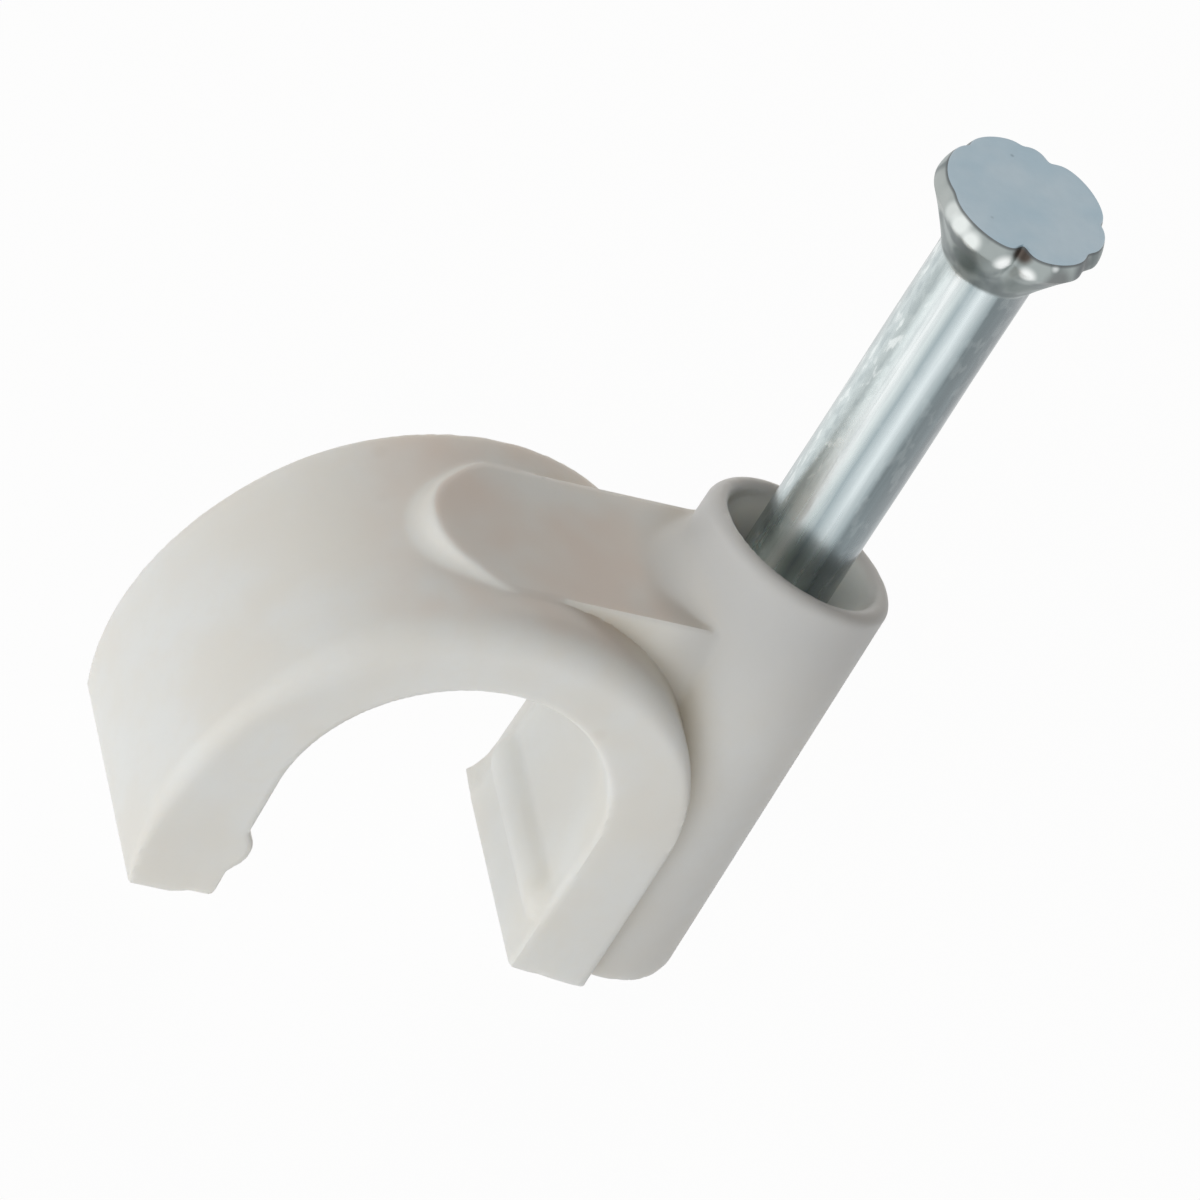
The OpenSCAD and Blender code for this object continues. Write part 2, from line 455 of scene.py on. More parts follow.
@dataclass(frozen=True)
class Mottle:
    """Cloudy variation that both finishes carry, as one shared node group."""

    clouds: Clouds = Clouds(400.0, 3000.0, 900.0)
    detail: float = 2.0
    broad_roughness: float = 0.55
    broad_range: tuple = (0.3, 0.7)
    fine_roughness: float = 0.6
    speck_range: tuple = (0.05, 0.16)
    speck_rarity: float = 0.9

    def build(self) -> Tree:
        """Builds the group.

        Returns:
            A group that puts out a broad cloud, a fine cloud and sparse specks.
        """
        board, source, sink = new_group(
            "surface_mottle",
            [
                GroupSocket("Vector", "NodeSocketVector"),
                GroupSocket("Broad Scale", "NodeSocketFloat", self.clouds.broad),
                GroupSocket("Fine Scale", "NodeSocketFloat", self.clouds.fine),
                GroupSocket("Speck Scale", "NodeSocketFloat", self.clouds.speck),
            ],
            [GroupSocket(name, "NodeSocketFloat") for name in ("Broad", "Fine", "Specks")],
        )
        given = source.outputs
        broad = board.add(
            "ShaderNodeTexNoise", Vector=given["Vector"], Scale=given["Broad Scale"],
            Detail=self.detail, Roughness=self.broad_roughness,
        )
        fine = board.add(
            "ShaderNodeTexNoise", Vector=given["Vector"], Scale=given["Fine Scale"],
            Detail=self.detail, Roughness=self.fine_roughness,
        )
        dots = board.add(
            "ShaderNodeTexVoronoi", Vector=given["Vector"], Scale=given["Speck Scale"],
            Randomness=1.0,
        )
        lone = board.add("ShaderNodeSeparateColor", Color=dots.outputs["Color"])
        small = board.spread(dots.outputs["Distance"], *self.speck_range, 1.0, 0.0)
        rare = board.math("GREATER_THAN", lone.outputs[0], self.speck_rarity)
        cloud = board.spread(broad.outputs["Fac"], *self.broad_range, 0.0, 1.0)
        board.tree.links.new(cloud, sink.inputs["Broad"])
        board.tree.links.new(fine.outputs["Fac"], sink.inputs["Fine"])
        board.tree.links.new(board.math("MULTIPLY", small, rare), sink.inputs["Specks"])
        return board.tree


@dataclass(frozen=True)
class Noise:
    """One cloud of noise on a finish: cycles per metre, detail, roughness, twist and stretch."""

    scale: float
    detail: float
    roughness: float = 0.5
    twist: float = 0.0
    stretch: tuple = (1.0, 1.0, 1.0)

    def add(self, board: NodeBoard, place: Socket) -> Socket:
        """Places the noise in a material.

        Args:
            board: Board of the material.
            place: Object coordinates.

        Returns:
            The value of the noise.
        """
        drawn = board.add("ShaderNodeMapping", Vector=place, Scale=self.stretch).outputs[0]
        noise = board.add(
            "ShaderNodeTexNoise", Vector=drawn, Scale=self.scale, Detail=self.detail,
            Roughness=self.roughness, Distortion=self.twist,
        )
        return noise.outputs["Fac"]


def new_material(name: str) -> tuple[bpy.types.Material, NodeBoard, bpy.types.Node]:
    """Starts a material with an empty tree.

    Args:
        name: Name of the material.

    Returns:
        The material, its board and its output node.
    """
    material = bpy.data.materials.new(name)
    material.use_nodes = True
    material.node_tree.nodes.clear()
    board = NodeBoard(material.node_tree)
    return material, board, board.add("ShaderNodeOutputMaterial")


@dataclass(frozen=True)
class PolymerFinish:
    """Off-white moulded polymer, slightly translucent, with a satin skin, faint flow clouds and
    painted shade.

    Lengths are in millimetres. A pair is the range over which an effect comes or goes.
    """

    pale: tuple = rgb(229, 231, 229)
    warm: tuple = rgb(227, 226, 220)
    # Painted shade: a warm, darker tone on up-facing surfaces.
    top_painted_shade: tuple = rgb(224, 211, 202)
    speck: tuple = rgb(206, 199, 188)
    # Painted shade: a yellowish grey in coves and hollows.
    hollow: tuple = rgb(216, 200, 168)
    # Painted shade: a grey on the boss wall, darker towards its rim.
    boss_shade: tuple = rgb(196, 197, 196)
    clouds: Clouds = Clouds(330.0, 2600.0, 520.0)
    grain_range: tuple = (0.45, 0.75)
    grain_share: float = 0.25
    top_shade_facing: tuple = (0.75, 0.98)
    top_shade_share: float = 0.65
    speck_share: float = 0.15
    hollow_shade_reach: float = 1.1
    hollow_shade_range: tuple = (0.45, 0.85)
    hollow_shade_share: float = 0.6
    mouth_range: tuple = (1.9, 2.2)
    boss_shade_range: tuple = (2.7, 3.9)
    boss_shade_rise: tuple = (7.5, 12.5)
    boss_shade_share: tuple = (0.35, 0.95)
    roughness: float = 0.38
    roughness_swing: float = 0.16
    bump: float = 0.12
    bump_depth: float = 0.04
    ior: float = 1.5
    specular: float = 0.42
    scatter: float = 0.3
    scatter_reach: float = 0.8
    scatter_colours: tuple = (1.0, 0.9, 0.78)

    def mouth_and_boss_shade(
        self, board: NodeBoard, place: Socket,
    ) -> tuple[Socket, Socket]:
        """Masks the wall of the boss, which carries painted shade that darkens towards the rim.

        Args:
            board: Board of the material.
            place: Object coordinates.

        Returns:
            Mask of all that lies outside the mouth, and mask of the painted shade on the wall,
            stronger to the rim.
        """
        x, y, z = board.add("ShaderNodeSeparateXYZ", Vector=place).outputs
        square = board.math("ADD", board.math("MULTIPLY", x, x), board.math("MULTIPLY", y, y))
        reach = board.math("SQRT", square)
        outside = board.spread(reach, *metres(self.mouth_range), 0.0, 1.0)
        within = board.spread(reach, *metres(self.boss_shade_range), 1.0, 0.0)
        rise = board.spread(z, *metres(self.boss_shade_rise), *self.boss_shade_share)
        wall = board.math("MULTIPLY", outside, within)
        return outside, board.math("MULTIPLY", wall, rise)

    def build(self, mottle: Tree) -> bpy.types.Material:
        """Builds the material.

        Args:
            mottle: Shared cloud group.

        Returns:
            The finished material.
        """
        material, board, out = new_material("moulded_polymer")
        coords = board.add("ShaderNodeTexCoord").outputs
        place = coords["Object"]
        facing = board.add("ShaderNodeSeparateXYZ", Vector=coords["Normal"]).outputs["Z"]
        clouds = self.clouds.add(board, mottle, place)
        tone = board.mix(clouds["Broad"], self.pale, self.warm)
        grain = board.spread(clouds["Fine"], *self.grain_range, 0.0, 1.0)
        tone = board.mix(board.math("MULTIPLY", grain, self.grain_share), tone, self.warm)
        # Painted shade: up-facing surfaces take the warm, darker tone, in broad clouds.
        top_shade_mask = board.spread(facing, *self.top_shade_facing, 0.0, self.top_shade_share)
        tone = board.mix(board.math("MULTIPLY", top_shade_mask, clouds["Broad"]), tone, self.top_painted_shade)
        specks = board.math("MULTIPLY", clouds["Specks"], self.speck_share)
        tone = board.mix(specks, tone, self.speck)
        # Painted shade: the boss wall greys towards its rim.
        outside, wall = self.mouth_and_boss_shade(board, place)
        tone = board.mix(wall, tone, self.boss_shade)
        # Painted shade: coves and hollows outside the mouth turn yellowish grey where ambient
        # occlusion finds them shut in.
        air = board.add(
            "ShaderNodeAmbientOcclusion", {"samples": 1, "only_local": True},
            Distance=self.hollow_shade_reach * MM,
        )
        hollow_shade_mask = board.spread(air.outputs["AO"], *self.hollow_shade_range, self.hollow_shade_share, 0.0)
        tone = board.mix(board.math("MULTIPLY", hollow_shade_mask, outside), tone, self.hollow)
        swing = board.math("MULTIPLY", clouds["Fine"], self.roughness_swing)
        rough = board.math("ADD", swing, self.roughness)
        relief = board.add(
            "ShaderNodeBump", Strength=self.bump, Distance=self.bump_depth * MM,
            Height=clouds["Fine"],
        )
        skin = board.add(
            "ShaderNodeBsdfPrincipled", Base_Color=tone, Roughness=rough,
            Normal=relief.outputs[0], IOR=self.ior, Specular_IOR_Level=self.specular,
            Subsurface_Weight=self.scatter, Subsurface_Radius=self.scatter_colours,
            Subsurface_Scale=self.scatter_reach * MM,
        )
        board.tree.links.new(skin.outputs[0], out.inputs[0])
        return material


@dataclass(frozen=True)
class PaintedLightPatch:
    """One soft patch of painted highlight or painted shade on the head: its middle and reach in mm,
    and its colour.
    """

    middle: tuple
    reach: float
    colour: tuple


@dataclass(frozen=True)
class ZincFinish:
    """Bright zinc plating: bands along the shank that are partly drawn streaks and partly painted
    reflections, a grey struck face, and a cone with painted highlights and painted shade.

    Lengths are in millimetres. A pair is the range over which an effect comes or goes.
    """

    # Bands round the wire: partly drawn streaks in the plating, partly painted reflections.
    streak_and_reflection_bands: tuple = (
        (0.0, rgb(172, 179, 180)), (0.08, rgb(200, 208, 208)), (0.18, rgb(215, 225, 225)),
        (0.28, rgb(186, 196, 196)), (0.33, rgb(225, 235, 235)), (0.4, rgb(250, 255, 255)),
        (0.45, rgb(220, 230, 230)), (0.5, rgb(168, 182, 186)), (0.58, rgb(228, 238, 240)),
        (0.655, rgb(165, 177, 180)), (0.685, rgb(120, 130, 133)), (0.92, rgb(130, 137, 140)),
        (1.0, rgb(172, 179, 180)),
    )
    # Horizontal directions across and toward the camera's view; they set where the painted
    # reflection bands lie.
    across: tuple = (0.8496, -0.5274, 0.0)
    toward: tuple = (-0.5274, -0.8496, 0.0)
    face: tuple = rgb(163, 181, 191)
    face_pale: tuple = rgb(172, 186, 194)
    cone_dark: tuple = rgb(124, 132, 133)
    cone_mid: tuple = rgb(170, 178, 177)
    # Painted highlight for the glints on the wavy plating.
    painted_glint: tuple = rgb(246, 252, 251)
    speck: tuple = rgb(112, 124, 130)
    # Darker tone for the drawn streaks, for painted dark spots in the wavy plating and for painted
    # shade low on the shank.
    shade: tuple = rgb(148, 161, 165)
    # Painted shade: a dark line along the head's rim.
    rim_shade: tuple = rgb(98, 102, 104)
    # Patches of painted highlight and painted shade on the cone and rim of the head.
    painted_light_patches: tuple = (
        PaintedLightPatch((-1.23, -1.11, 23.22), 0.6, rgb(116, 127, 126)),
        PaintedLightPatch((0.11, -1.64, 23.2), 0.55, rgb(128, 137, 136)),
        PaintedLightPatch((1.3, -1.55, 24.15), 0.6, rgb(112, 117, 119)),
        PaintedLightPatch((0.64, -2.05, 24.0), 0.5, rgb(130, 134, 134)),
        PaintedLightPatch((-0.37, -1.73, 24.36), 0.34, rgb(98, 90, 84)),
        PaintedLightPatch((-2.12, -0.1, 24.05), 0.55, rgb(184, 189, 187)),
        PaintedLightPatch((-2.12, 0.4, 24.1), 0.6, rgb(178, 184, 182)),
        PaintedLightPatch((-2.02, -0.62, 24.24), 0.36, rgb(218, 223, 221)),
        PaintedLightPatch((-1.86, -1.02, 24.2), 0.4, rgb(238, 243, 241)),
        PaintedLightPatch((-1.62, -1.42, 24.1), 0.36, rgb(240, 245, 243)),
        PaintedLightPatch((-0.74, -1.86, 23.98), 0.36, rgb(250, 253, 252)),
        PaintedLightPatch((-0.19, -2.07, 23.95), 0.32, rgb(250, 253, 252)),
        PaintedLightPatch((0.43, -2.05, 24.4), 0.16, rgb(214, 219, 219)),
    )
    patch_core: float = 0.35
    clouds: Clouds = Clouds(700.0, 9000.0, 1900.0)
    speck_share: float = 0.6
    lines: Noise = Noise(3600.0, 3.0, 0.6, 0.0, (1.0, 1.0, 0.04))
    line_shake: float = 0.045
    line_range: tuple = (0.32, 0.5)
    line_share: float = 0.25
    line_relief: float = 0.5
    ripple: Noise = Noise(3800.0, 2.0, 0.5, 0.0, (1.0, 1.0, 0.4))
    wavy_start: tuple = (0.0, 0.12)
    wavy_end: tuple = (0.28, 0.4)
    wavy_least: float = 0.1
    dull_range: tuple = (0.34, 0.48)
    dull_share: float = 0.28
    bright_range: tuple = (0.54, 0.66)
    bright_share: float = 0.7
    folds: Noise = Noise(1150.0, 1.5, 0.5, 0.5)
    fold_range: tuple = (0.36, 0.58)
    shade_rise: tuple = (13.8, 16.4)
    shade_share: float = 0.25
    cone_rise: tuple = (22.45, 22.65)
    rim_shade_rise: tuple = (24.36, 24.42)
    rim_shade_share: float = 0.8
    face_z: float = 24.44
    roughness: float = 0.18
    line_roughness: float = 0.16
    cone_roughness: float = 0.2
    bump: float = 0.25
    bump_depth: float = 0.02

    def round_shank(
        self, board: NodeBoard, place: Socket,
    ) -> Socket:
        """Tells how far round the wire a point lies.

        Args:
            board: Board of the material.
            place: Object coordinates.

        Returns:
            Half turns, 0.5 where the brightest painted reflection bands lie.
        """
        dot = {"operation": "DOT_PRODUCT"}
        side = board.add("ShaderNodeVectorMath", dot, i0=place, i1=self.across)
        front = board.add("ShaderNodeVectorMath", dot, i0=place, i1=self.toward)
        turn = board.math("ARCTAN2", side.outputs["Value"], front.outputs["Value"])
        return board.math("ADD", board.math("DIVIDE", turn, math.pi), 0.5)

    def shank(
        self, board: NodeBoard, share: Socket, ripple: Socket,
    ) -> Socket:
        """Colours the shank in long bands, partly drawn streaks and partly painted reflections, with
        painted glints and dark spots in a wavy stretch between two of them.

        Args:
            board: Board of the material.
            share: Place round the wire from 0 to 1, shaken by its drawn lines.
            ripple: Waves in the plating.

        Returns:
            The colour.
        """
        ramp = board.add("ShaderNodeValToRGB", Fac=share)
        stops = ramp.color_ramp.elements
        stops[0].position, stops[0].color = self.streak_and_reflection_bands[0]
        stops[1].position, stops[1].color = self.streak_and_reflection_bands[-1]
        for position, colour in self.streak_and_reflection_bands[1:-1]:
            stops.new(position).color = colour
        start = board.spread(share, *self.wavy_start, self.wavy_least, 1.0)
        end = board.spread(share, *self.wavy_end, 1.0, self.wavy_least)
        wavy = board.math("MULTIPLY", end, start)
        # Painted dark spots and painted glints, in the wavy stretch only.
        dull = board.spread(ripple, *self.dull_range, self.dull_share, 0.0)
        bright = board.spread(ripple, *self.bright_range, 0.0, self.bright_share)
        tone = ramp.outputs["Color"]
        tone = board.mix(board.math("MULTIPLY", wavy, dull), tone, self.shade)
        return board.mix(board.math("MULTIPLY", wavy, bright), tone, self.painted_glint)

    def cone(self, board: NodeBoard, place: Socket) -> Socket:
        """Colours the cone under the head in grey folds, with patches of painted shade and painted
        highlights.

        Args:
            board: Board of the material.
            place: Object coordinates.

        Returns:
            The colour.
        """
        fold = board.spread(self.folds.add(board, place), *self.fold_range, 0.0, 1.0)
        tone = board.mix(fold, self.cone_dark, self.cone_mid)
        # Painted highlights and painted shade, one patch at a time.
        for touch in self.painted_light_patches:
            away = board.add(
                "ShaderNodeVectorMath", {"operation": "DISTANCE"},
                i0=place, i1=metres(touch.middle),
            )
            reach = touch.reach * MM
            near = board.spread(away.outputs["Value"], self.patch_core * reach, reach, 1.0, 0.0)
            tone = board.mix(near, tone, touch.colour)
        return tone

    def build(self, mottle: Tree) -> bpy.types.Material:
        """Builds the material.

        Args:
            mottle: Shared cloud group.

        Returns:
            The finished material.
        """
        material, board, out = new_material("zinc_plate")
        place = board.add("ShaderNodeTexCoord").outputs["Object"]
        height = board.add("ShaderNodeSeparateXYZ", Vector=place).outputs["Z"]
        lines = self.lines.add(board, place)
        ripple = self.ripple.add(board, place)
        clouds = self.clouds.add(board, mottle, place)
        shake = board.math("MULTIPLY", board.math("SUBTRACT", lines, 0.5), self.line_shake)
        share = board.math("FRACT", board.math("ADD", self.round_shank(board, place), shake))
        tone = self.shank(board, share, ripple)
        streak = board.spread(lines, *self.line_range, self.line_share, 0.0)
        tone = board.mix(streak, tone, self.shade)
        # Painted shade: the shank turns darker towards the boss.
        low = board.spread(height, *metres(self.shade_rise), self.shade_share, 0.0)
        tone = board.mix(low, tone, self.shade)
        on_cone = board.spread(height, *metres(self.cone_rise), 0.0, 1.0)
        tone = board.mix(on_cone, tone, self.cone(board, place))
        # Painted shade: a dark line round the rim, just under the struck face's bevel.
        on_rim_shade = board.spread(height, *metres(self.rim_shade_rise), 0.0, self.rim_shade_share)
        tone = board.mix(on_rim_shade, tone, self.rim_shade)
        top = board.mix(clouds["Broad"], self.face, self.face_pale)
        top = board.mix(
            board.math("MULTIPLY", clouds["Specks"], self.speck_share), top, self.speck,
        )
        tone = board.mix(board.math("GREATER_THAN", height, self.face_z * MM), tone, top)
        rough = board.math("MULTIPLY", lines, self.line_roughness)
        rough = board.math("ADD", rough, self.roughness)
        rough = board.math("ADD", rough, board.math("MULTIPLY", on_cone, self.cone_roughness))
        relief = board.math("ADD", board.math("MULTIPLY", lines, self.line_relief), ripple)
        bump = board.add(
            "ShaderNodeBump", Strength=self.bump, Distance=self.bump_depth * MM, Height=relief,
        )
        plate = board.add(
            "ShaderNodeBsdfPrincipled",
            Base_Color=tone, Metallic=1.0, Roughness=rough, Normal=bump.outputs[0],
        )
        board.tree.links.new(plate.outputs[0], out.inputs[0])
        return material


@dataclass(frozen=True)
class Radius:
    """A radius in mm that grows from a least value by a further amount along a range."""

    least: float
    more: float
    run: tuple

    def at(self, x: np.ndarray) -> np.ndarray:
        """Gives the radius at each place along the range."""
        return self.least + self.more * ease(x, *self.run)


@dataclass(frozen=True)
class ClipBody:
    """Moulded body: an arch over the cable, a pad and the boss that holds the nail.

    Sizes are in millimetres and turns in degrees.
    """

    cable_x: float = -6.65
    seat_z: float = 4.7
    seat_r: float = 4.15
    seat_edge: Radius = Radius(0.06, 0.1, (0.0, 2.0))
    arch_r: float = 6.2
    half_w: float = 3.35
    foot_gap: float = 0.5
    foot_half: float = 4.03
    toe: Radius = Radius(0.05, 0.25, (-5.2, -4.6))
    heel_gap: float = 0.37
    heel_run: float = 3.85
    bow: tuple = (2.0, -1.5, 8.7)
    bow_dir: tuple = (-0.8, 0.6)
    flare: float = 0.4
    flare_len: float = 1.2
    flare_runout: float = 1.2
    flare_ease: float = 0.35
    free_edge: Radius = Radius(0.12, 0.33, (-215.0, -185.0))
    crown_edge: Radius = Radius(0.0, 0.45, (-170.0, -125.0))
    nail_edge_r: float = 0.14
    nail_edge_turns: tuple = (10.0, 75.0)
    far_edge_r: float = 0.1
    boss_h: float = 12.7
    boss_top_r: float = 2.6
    boss_slope: float = math.tan(math.radians(0.8))
    rim_h: float = 12.62
    rim_slope: tuple = (0.22, 0.15)
    rim_edge: Radius = Radius(0.28, 0.2, (-0.5, 2.0))
    cove_r: float = 0.08
    cove_more: float = 0.72
    cove_depth: float = 0.9
    cove_near: tuple = (-2.0, -0.6)
    cove_far: tuple = (0.6, 2.2)
    cove_fade: float = 0.6
    mouth_r: float = 2.1
    mouth_z: float = 12.154
    mouth_depth: float = 1.295
    lip: Radius = Radius(0.1, 0.16, (-1.2, -0.4))
    bore_r: float = 1.28
    pad_half: float = 2.15
    pad_shift: float = 0.25
    pad_top: float = 10.95
    pad_end_x: float = -7.2
    pad_end_run: float = 1.2
    pad_end_inset: float = 0.3
    pad_lean: Radius = Radius(0.08, 0.3, (0.0, 1.2))
    pad_edge_r: float = 0.12
    pad_fillet: Radius = Radius(0.06, 0.14, (-0.3, 1.0))
    rib_axis: float = 4.527
    rib_r: float = 0.75
    rib_level: float = 2.15
    rib_far_inset: float = 1.4
    rib_near_inset: float = 0.8
    rib_fillet_r: float = 0.12
    margin: float = 0.27
    sharp: float = 38.0

    def outer(self, u: np.ndarray, v: np.ndarray) -> np.ndarray:
        """Measures the outside of the arch across the cable.

        Args:
            u: Distance from the cable axis along x.
            v: Distance from the cable axis along z.

        Returns:
            Signed distance.
        """
        ring = np.hypot(u, v) - self.arch_r
        bowed = np.hypot(u - self.bow[0], v - self.bow[1]) - self.bow[2]
        free = u * self.bow_dir[1] - v * self.bow_dir[0] < 0.0
        shape = np.where(free, bowed, ring)
        return np.where((u > 0.0) & (v < 0.0), u - self.arch_r, shape)

    def wall(self, u: np.ndarray, v: np.ndarray, y: np.ndarray, foot: np.ndarray) -> np.ndarray:
        """Measures the material outside the cable channel, with its flare.

        Args:
            u: Distance from the cable axis along x.
            v: Distance from the cable axis along z.
            y: Distance along the cable.
            foot: Height above the nearer foot.

        Returns:
            Signed distance, negative in the material.
        """
        down = np.clip(-v / self.seat_z, 0.0, 1.0)
        half = self.seat_r - (self.seat_r - self.foot_half) * down
        channel = np.where(v > 0.0, np.hypot(u, v) - self.seat_r, np.abs(u) - half)
        run = np.clip(foot / self.flare_runout, 0.0, 1.0)
        depth = self.flare * np.sqrt(1.0 - (1.0 - run) ** 2)
        into = np.maximum(y - (self.half_w - self.flare_len), 0.0) / self.flare_len
        soft = np.where(into < self.flare_ease, into / self.flare_ease, 1.0)
        return depth * into * soft - channel

    def heel(self, x: np.ndarray, z: np.ndarray) -> np.ndarray:
        """Measures the slope under the nail leg and the boss.

        Args:
            x: Place along x.
            z: Height.

        Returns:
            Signed distance, negative above the slope.
        """
        start = self.cable_x + self.foot_half
        slope = self.heel_gap * (1.0 - (x - start) / self.heel_run)
        return np.maximum(slope, 0.0) - z

    def near_edge(self, u: np.ndarray, v: np.ndarray) -> np.ndarray:
        """Gives the radius of the near outer edge, small at the feet and soft over the crown.

        Args:
            u: Distance from the cable axis along x.
            v: Distance from the cable axis along z.

        Returns:
            Radius in millimetres.
        """
        turn = np.degrees(np.arctan2(v, u))
        turn = np.where(turn < -90.0, turn + 360.0, turn)
        free = self.free_edge.at(-turn) + self.crown_edge.at(-turn)
        fade = ease(turn, *self.nail_edge_turns)
        return self.nail_edge_r + (free - self.nail_edge_r) * fade

    def boss(self, p: Points, rho: np.ndarray) -> np.ndarray:
        """Measures the drafted post around the nail.

        Args:
            p: Points in millimetres.
            rho: Their distance from the nail's axis.

        Returns:
            Signed distance.
        """
        x, y, z = p.T
        flank = rho - self.boss_top_r - (self.boss_h - z) * self.boss_slope
        rise = z - self.rim_h + self.rim_slope[0] * x + self.rim_slope[1] * y
        rise = rise / math.hypot(1.0, *self.rim_slope)
        return round_and(flank, rise, self.rim_edge.at(-x))

    def cove(self, p: Points) -> np.ndarray:
        """Gives the fillet round the boss, widest over the pad.

        Args:
            p: Points in millimetres.

        Returns:
            Radius in millimetres.
        """
        _, y, z = p.T
        over = ease(z, self.pad_top - self.cove_depth, self.pad_top) * ease(y, *self.cove_near)
        over = over * (1.0 - self.cove_fade * ease(y, *self.cove_far))
        return self.cove_r + self.cove_more * over

    def pad(self, p: Points) -> np.ndarray:
        """Measures the pad that bridges the arch and the boss.

        Args:
            p: Points in millimetres.

        Returns:
            Signed distance.
        """
        x, y, z = p.T
        past = np.minimum(x - self.pad_end_x, 0.0)
        inset = self.pad_end_inset * ease(-past, 0.0, self.pad_end_run)
        lean = self.pad_lean.at(-past)
        side = np.hypot(past, y - self.pad_shift) - self.pad_half + inset
        side = (side - lean * np.clip(self.pad_top - z, 0.0, 1.0)) / np.hypot(1.0, lean)
        block = round_and(side, z - self.pad_top, self.pad_edge_r)
        return np.maximum(np.maximum(block, self.seat_z - z), x)

    def ribs(self, u: np.ndarray, p: Points) -> np.ndarray:
        """Measures the two ribs inside the legs.

        Args:
            u: Distance from the cable axis along x.
            p: Points in millimetres.

        Returns:
            Signed distance.
        """
        _, y, z = p.T
        far = np.maximum(y - (self.half_w - self.rib_far_inset), 0.0)
        near = np.maximum(self.rib_near_inset - self.half_w - y, 0.0)
        past = far + np.where(u < 0.0, 0.0, near)
        across = np.hypot(np.abs(u) - self.rib_axis, z - self.rib_level)
        return np.hypot(across, past) - self.rib_r

    def hole(self, z: np.ndarray, rho: np.ndarray) -> np.ndarray:
        """Measures the bore and the funnel that seats the nail's head.

        Args:
            z: Heights in millimetres.
            rho: Distances from the nail's axis.

        Returns:
            Signed distance, negative in the hole.
        """
        lean = (self.mouth_r - self.bore_r) / self.mouth_depth
        rise = z - (self.mouth_z - self.mouth_depth)
        funnel = (rho - self.bore_r - rise * lean) / math.hypot(1.0, lean)
        return np.minimum(rho - self.bore_r, np.maximum(funnel, rho - self.mouth_r))

    def solid(self, p: Points) -> np.ndarray:
        """Measures the whole body.

        Args:
            p: Points in millimetres.

        Returns:
            Signed distance.
        """
        x, y, z = p.T
        u, v = x - self.cable_x, z - self.seat_z
        rho = np.hypot(x, y)
        arch = round_and(self.outer(u, v), -y - self.half_w, self.near_edge(u, v))
        arch = round_and(arch, y - self.half_w, self.far_edge_r)
        shape = round_or(arch, self.pad(p), self.pad_fillet.at(self.pad_end_x - x))
        shape = round_or(shape, self.boss(p, rho), self.cove(p))
        ground = np.where(u < 0.0, self.foot_gap - z, self.heel(x, z))
        wall = round_or(self.wall(u, v, y, -ground), self.ribs(u, p), self.rib_fillet_r)
        shape = round_and(shape, wall, self.seat_edge.at(-y))
        toe = np.where(u < 0.0, self.toe.at(u), self.toe.least)
        shape = round_and(shape, ground, toe)
        return round_and(shape, -self.hole(z, rho), self.lip.at(z - self.mouth_z))

    def build(self, finish: PolymerFinish, mottle: Tree) -> bpy.types.Object:
        """Meshes and dresses the body.

        Args:
            finish: Its polymer.
            mottle: Shared cloud group.

        Returns:
            The piece.
        """
        low, high = (np.array(corner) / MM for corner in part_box("clip_body"))
        verts, quads = FieldMesher().mesh(self.solid, low - self.margin, high + self.margin)
        piece = mesh_object("moulded_body", np.clip(verts, low, high), quads, self.sharp)
        piece.data.materials.append(finish.build(mottle))
        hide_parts("clip_body")
        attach(piece, "root")
        LOG.info("moulded_body: %d quads", len(quads))
        return piece


@dataclass(frozen=True)
class Notch:
    """One notch struck into the nail's head: its turn, depth in mm and width in degrees."""

    turn: float
    depth: float
    width: float


